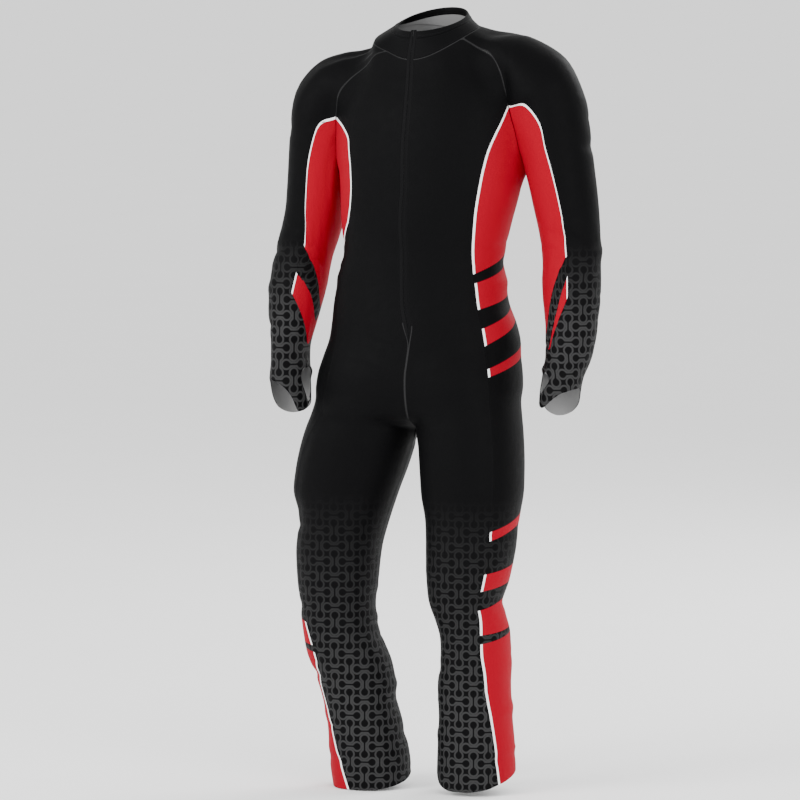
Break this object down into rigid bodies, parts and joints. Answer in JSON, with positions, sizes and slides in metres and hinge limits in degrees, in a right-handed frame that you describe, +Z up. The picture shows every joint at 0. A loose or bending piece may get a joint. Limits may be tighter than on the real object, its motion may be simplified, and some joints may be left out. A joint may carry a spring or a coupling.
{
  "type": "ski race suit",
  "caption": "One-piece hollow ski race suit with long raglan sleeves, thumb holes, stand-up collar and closed front zip, filled out as worn.",
  "frame": {"origin": "centre of the neck opening at the base of the collar, where the wearer's neck carries the suit", "axes": "+Z up along the standing wearer, the front of the suit faces -Y, the wearer's left is +X"},
  "size_m": [0.6611, 0.2609, 1.4746],
  "materials": {
    "printed_cloth": "smooth stretch knit, black with a tonal print",
    "side_cloth": "smooth stretch knit, red with printed black bands",
    "collar_cloth": "smooth stretch knit",
    "collar_facing": "brushed knit inside",
    "zip_tape": "woven tape with moulded teeth"
  },
  "bodies": {
    "root": {"front_left": "printed_cloth", "front_right": "printed_cloth", "back_left": "printed_cloth", "back_right": "printed_cloth", "sleeve_left": "printed_cloth", "sleeve_right": "printed_cloth", "side_left": "side_cloth", "side_right": "side_cloth", "underarm_left": "side_cloth", "underarm_right": "side_cloth", "collar": "collar_cloth", "collar_facing": "collar_facing", "collar_binding": "collar_cloth", "front_zip": "zip_tape"}
  },
  "joints": []
}
